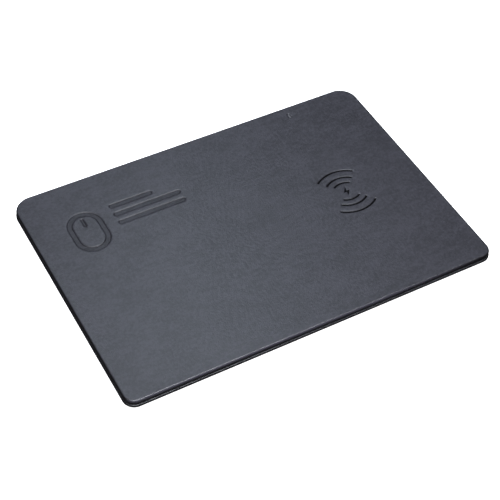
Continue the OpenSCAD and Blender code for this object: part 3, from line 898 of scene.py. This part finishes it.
# ------------------------------------------------------------------ plain finishes


def plain(
    slot, dark, light, roughness, lump, depth, metal=0.0, coat=0.0, alpha=1.0, stretch=(1, 1, 1),
):
    """Moulded, sintered or plated stuff: two tones mixed by fine noise, uneven gloss and a fine skin."""
    stuff = Finish(slot)
    fine = stuff.noise(lump, 4, 0.6, stretch)
    broad = stuff.noise(lump * 14, 2)
    colour = stuff.blend((fine * 0.6 + broad * 0.4).ease(0.3, 0.7), dark, light)
    return stuff.surface(
        Base_Color=colour, Roughness=roughness + (fine - 0.5) * 0.12,
        Normal=stuff.bump(fine, depth, 0.6), Metallic=metal, Coat_Weight=coat, Alpha=alpha,
    )


def chip(slot, body, ends, start, period, reach, roughness=0.5):
    """Surface-mount parts in a row along X: a fired body, tinned beyond reach from each middle."""
    stuff = Finish(slot)
    off_middle = stuff.axis("X").wrapped(start, period)
    metal = off_middle.over(reach)
    grain = stuff.noise(0.12, 3)
    colour = stuff.blend(grain.ease(0.3, 0.7), body, tuple(1.25 * channel for channel in body))
    colour = stuff.blend(metal, colour, ends)
    return stuff.surface(
        Base_Color=colour, Metallic=metal, Roughness=roughness - metal * 0.2 + (grain - 0.5) * 0.1,
        Normal=stuff.bump(grain, 0.01, 0.5),
    )


def laminate(slot):
    """Green circuit board: lacquer, paler over the copper tracks, with tinned pads."""
    board = Finish(slot)
    x, y = board.axis("X"), board.axis("Y")
    bend = (board.noise(6, 1) - 0.5) * 2
    track = 1 - (x + bend).wrapped(0, 1.9).ease(0.16, 0.22)
    cross = 1 - (y + bend).wrapped(0, 2.7).ease(0.16, 0.22)
    area = board.noise(9, 1)
    copper = (track * area.ease(0.5, 0.54)).largest(cross * (1 - area).ease(0.5, 0.54))
    pad = (1 - x.wrapped(1, 5.2).ease(0.35, 0.4)) * (1 - y.wrapped(0.6, 4.3).ease(0.35, 0.4))
    colour = board.blend(copper, (0.012, 0.10, 0.045), (0.03, 0.2, 0.08))
    colour = board.blend(pad, colour, (0.75, 0.74, 0.7))
    return board.surface(
        Base_Color=colour, Metallic=pad * 0.9, Roughness=0.34 + board.noise(0.8, 2) * 0.1,
        Normal=board.bump(copper.largest(pad), 0.03, 0.6),
    )


def strand(slot):
    """Enamelled copper strand: warm metal whose tone shifts from wire to wire."""
    wire = Finish(slot)
    fine = wire.noise(0.25, 3)
    broad = wire.noise(7, 2)
    colour = wire.blend((fine * 0.5 + broad * 0.5).ease(0.3, 0.7), (0.42, 0.16, 0.06), (0.8, 0.38, 0.17))
    return wire.surface(
        Base_Color=colour, Metallic=0.9, Roughness=0.3 + fine * 0.15, Normal=wire.bump(fine, 0.02, 0.5),
        Coat_Weight=0.4,
    )


def card(slot, dark, light, lump):
    """Grey board or card: short fibres and darker specks in a flat sheet."""
    sheet = Finish(slot)
    fibre = sheet.noise(lump, 4, 0.7, (1, 0.25, 3))
    speck = sheet.cells(1.7).ease(0.02, 0.12)
    colour = sheet.blend(fibre.ease(0.35, 0.65), dark, light)
    colour = sheet.blend((1 - speck) * 0.5, colour, tuple(0.4 * channel for channel in dark))
    return sheet.surface(
        Base_Color=colour, Roughness=0.85 + (fibre - 0.5) * 0.1, Normal=sheet.bump(fibre, 0.04, 0.6),
    )


def foam(slot):
    """Open foam: small cells with thin bright walls."""
    stuff = Finish(slot)
    wall = 1 - stuff.cells(0.55, "DISTANCE_TO_EDGE").ease(0.02, 0.14)
    colour = stuff.blend(wall, (0.05, 0.05, 0.053), (0.16, 0.16, 0.165))
    return stuff.surface(Base_Color=colour, Roughness=0.9, Normal=stuff.bump(wall, 0.12, 0.8))


def grip_rubber(slot):
    """Matte natural rubber: a fine cloth imprint over a cloudy, dusty surface."""
    rubber = Finish(slot)
    weft = abs(rubber.axis("X").maths("SINE", rubber.axis("X") * 5.2))
    warp = abs(rubber.axis("Y").maths("SINE", rubber.axis("Y") * 5.2))
    cloth = weft * warp
    cloud = rubber.noise(26, 3)
    colour = rubber.blend(cloud.ease(0.3, 0.7), (0.018, 0.018, 0.02), (0.035, 0.035, 0.038))
    return rubber.surface(
        Base_Color=colour, Roughness=0.72 + (cloud - 0.5) * 0.12 - cloth * 0.05,
        Normal=rubber.bump(cloth, 0.03, 0.6),
    )


def smoked(slot):
    """Smoked acrylic of the light window: dark and cool, with a slightly paler core."""
    acrylic = Finish(slot)
    haze = acrylic.noise(0.5, 3)
    core = 1 - abs(acrylic.axis("X") - LIGHT[0]).ease(0.2, 0.9)
    colour = acrylic.blend(haze * 0.4 + core * 0.5, (0.05, 0.05, 0.056), (0.12, 0.12, 0.135))
    return acrylic.surface(
        Base_Color=colour, Roughness=0.28 + haze * 0.12, Normal=acrylic.bump(haze, 0.01, 0.4),
        Coat_Weight=0.3,
    )


# ------------------------------------------------------------------ object


def finish_piece(piece, finish):
    """Gives a piece one material in place of any that it had."""
    piece.data.materials.clear()
    piece.data.materials.append(finish.material)


def replace_node(piece, finish, *nodes):
    """A new piece takes a CAD node's place, body and finish."""
    finish_piece(piece, finish)
    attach(piece, "root")
    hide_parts(*nodes)


def middle_x(node):
    """Middle of a CAD node along X, in millimetres."""
    low, high = box_mm(node)
    return float(low[0] + high[0]) / 2


# The front rim factor paints light on the top cover's front rim (1.7) and shade on the sole's (0.35)
top_skin = leather(
    "top_leather", (0.0245, 0.0238, 0.031), (0.0435, 0.042, 0.054),
    roughness=0.38, front_rim_shading=1.7, pressed_lines=True,
)
sole_skin = leather(
    "bottom_leather", (0.023, 0.0225, 0.028), (0.034, 0.033, 0.041),
    roughness=0.46, front_rim_shading=0.35, pressed_lines=False,
)
rubber = grip_rubber("grip_rubber")
case_skin = plain("case_plastic", (0.016, 0.016, 0.018), (0.03, 0.03, 0.033), 0.5, 0.3, 0.02)
steel = plain(
    "shell_steel", (0.55, 0.55, 0.57), (0.68, 0.68, 0.70), 0.3, 0.5, 0.01, 1.0, stretch=(1, 0.2, 1),
)
screw_steel = plain("screw_steel", (0.6, 0.6, 0.62), (0.72, 0.72, 0.74), 0.32, 0.4, 0.01, 1.0)
copper = strand("copper")
window = smoked("clear_pipe")
stone = plain("ferrite", (0.03, 0.029, 0.029), (0.055, 0.052, 0.05), 0.6, 0.25, 0.02)
epoxy = plain("black_epoxy", (0.012, 0.012, 0.013), (0.024, 0.024, 0.026), 0.55, 0.12, 0.012)
tin = plain("tinned_wire", (0.66, 0.67, 0.68), (0.8, 0.81, 0.82), 0.28, 0.3, 0.012, 1.0)
gold = plain("gold_plate", (0.78, 0.52, 0.17), (0.92, 0.66, 0.27), 0.22, 0.4, 0.006, 1.0)
glue = plain("adhesive", (0.03, 0.03, 0.028), (0.05, 0.05, 0.047), 0.4, 1.2, 0.03)
glue_ring = plain("glue_ring", (0.55, 0.53, 0.45), (0.7, 0.68, 0.6), 0.45, 0.8, 0.02)
tape = plain(
    "amber_tape", (0.36, 0.17, 0.03), (0.5, 0.26, 0.05), 0.25, 2.5, 0.01, coat=0.5, alpha=0.85,
)
thermal = plain("thermal_rubber", (0.24, 0.28, 0.36), (0.33, 0.37, 0.46), 0.7, 0.4, 0.02)
lens = plain("led_package", (0.72, 0.74, 0.76), (0.86, 0.88, 0.9), 0.25, 0.3, 0.005, coat=0.4)

replace_node(make_top_leather(), top_skin, "top_cover")
replace_node(make_sole_leather(), sole_skin, "bottom_cover")
replace_node(make_grip_sheet(), rubber, "grip_sheet")
replace_node(make_port_frame(), case_skin, "port_bezel")
replace_node(make_socket_shell(), steel, "usb_shell")
replace_node(make_light_window(), window, "light_pipe")
replace_node(make_coil(), copper, "coil_winding")

brown = (0.28, 0.2, 0.13)
black = (0.018, 0.018, 0.019)
solder = (0.7, 0.71, 0.72)
core_black = (0.05, 0.05, 0.052)
half_chip = 0.8
row_start = box_mm("chip_resistors")[0][0] + half_chip
column_start = box_mm("chip_capacitors")[0][0] + half_chip

# A period so long that the row holds a single part
ALONE = 60

finishes = {
    "top_foam": foam("foam"),
    "upper_board": card("board", (0.2, 0.185, 0.165), (0.28, 0.26, 0.235), 0.5),
    "upper_liner": card("liner_card", (0.42, 0.38, 0.31), (0.52, 0.48, 0.4), 0.35),
    "seam_adhesive": glue,
    "charger_tray": case_skin,
    "charger_lid": case_skin,
    "lid_screws": screw_steel,
    "ferrite_plate": stone,
    "coil_adhesive": glue_ring,
    "coil_lead_inner": copper,
    "coil_lead_outer": copper,
    "coil_tape": tape,
    "thermistor": epoxy,
    "thermistor_leads": tin,
    "circuit_board": laminate("board_laminate"),
    "heat_pad": thermal,
    "controller_chip": epoxy,
    "crystal": screw_steel,
    "bridge_transistors": epoxy,
    "resonant_capacitors": chip(
        "capacitor_ceramic", brown, solder, middle_x("resonant_capacitors"), ALONE, 1.15,
    ),
    "input_capacitors": chip(
        "input_ceramic", brown, solder, middle_x("input_capacitors"), ALONE, 1.15,
    ),
    "chip_capacitors": chip("small_ceramic", brown, solder, column_start, 16.5, 0.5),
    "chip_resistors": chip("resistor_film", black, solder, row_start, 2.6, 0.5),
    "sense_resistor": chip("sense_film", black, solder, middle_x("sense_resistor"), ALONE, 1.1),
    "filter_inductor": chip(
        "inductor_core", core_black, solder, middle_x("filter_inductor"), ALONE, 2.1,
    ),
    "status_led": lens,
    "solder_joints": tin,
    "usb_tongue": epoxy,
    "usb_contacts": gold,
}
finishes["lower_board"] = finishes["upper_board"]
finishes["lower_liner"] = finishes["upper_liner"]
for node, finish in finishes.items():
    finish_piece(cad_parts[node], finish)


# ------------------------------------------------------------------ studio

# Half of the floor's side, in metres
FLOOR_HALF = 6
COOL = (0.85, 1.0, 1.12)


def make_floor():
    """Wide flat floor under the mat that glows evenly white.

    Neither glossy nor diffuse rays see it, so that the mat's black edges stay dark."""
    corners = np.array([[-1, -1, 0], [1, -1, 0], [1, 1, 0], [-1, 1, 0]]) * FLOOR_HALF / MM
    floor = build("studio_floor", corners, np.array([[0, 1, 2, 3]]))
    paint = Finish("studio_paint")
    paint.surface(
        Base_Color=(0.96, 0.96, 0.96, 1), Roughness=0.9, Emission_Color=(1, 1, 1, 1), Emission_Strength=1,
    )
    floor.data.materials.append(paint.material)
    floor.visible_glossy = False
    floor.visible_diffuse = False


def area_light(name, place, size, power, colour=(1, 1, 1)):
    """Soft rectangular lamp at a place, in metres, that faces the mat; its first side lies along X."""
    lamp = bpy.data.lights.new(name, "AREA")
    lamp.shape = "RECTANGLE"
    lamp.size, lamp.size_y = size
    lamp.energy = power
    lamp.color = colour
    back = Vector(place).normalized()
    along = Vector((1, 0, 0))
    along = (along - along.dot(back) * back).normalized()
    holder = bpy.data.objects.new(name, lamp)
    turned = Matrix((along, back.cross(along), back)).transposed()
    holder.matrix_world = Matrix.Translation(place) @ turned.to_4x4()
    bpy.context.scene.collection.objects.link(holder)


def set_world(backdrop, glow):
    """White surroundings: backdrop is what the camera sees, and glow the light that they give."""
    world = bpy.data.worlds.new("surroundings")
    world.use_nodes = True
    nodes, links = world.node_tree.nodes, world.node_tree.links
    path = nodes.new("ShaderNodeLightPath")
    level = nodes.new("ShaderNodeMapRange")
    level.inputs["To Min"].default_value = glow
    level.inputs["To Max"].default_value = backdrop
    links.new(path.outputs["Is Camera Ray"], level.inputs["Value"])
    links.new(level.outputs["Result"], nodes["Background"].inputs["Strength"])
    nodes["Background"].inputs["Color"].default_value = (1, 1, 1, 1)
    bpy.context.scene.world = world


def set_camera(aim, distance, azimuth, elevation, roll, lens_mm):
    """Camera on a sphere round its aim: azimuth from the front towards +X, all angles in degrees."""
    turn, lift = math.radians(azimuth), math.radians(elevation)
    back = Vector((math.sin(turn) * math.cos(lift), -math.cos(turn) * math.cos(lift), math.sin(lift)))
    right = Vector((math.cos(turn), math.sin(turn), 0))
    basis = Matrix((right, back.cross(right), back)).transposed()
    tilted = basis @ Matrix.Rotation(math.radians(roll), 3, "Z")
    lens_data = bpy.data.cameras.new("camera")
    lens_data.lens = lens_mm
    lens_data.sensor_width = 36
    lens_data.clip_end = 50
    camera = bpy.data.objects.new("camera", lens_data)
    camera.matrix_world = Matrix.Translation(Vector(aim) + back * distance) @ tilted.to_4x4()
    bpy.context.scene.collection.objects.link(camera)
    bpy.context.scene.camera = camera


make_floor()
set_world(backdrop=1, glow=0.055)
area_light("front_strip", place=(0, -0.336, 1.582), size=(1.3, 0.3), power=26, colour=(0.96, 1, 1.06))
area_light("rear_softbox", place=(0.134, 0.347, 0.7), size=(0.236, 0.497), power=1.3, colour=COOL)
area_light("ceiling", place=(-0.5, 0, 4), size=(5.5, 6), power=47)
set_camera(
    aim=(-0.01084, -0.02005, 0.0072), distance=0.9566, azimuth=-30.660, elevation=48.094,
    roll=2.629, lens_mm=93.36,
)
bpy.context.scene.view_settings.view_transform = "Standard"
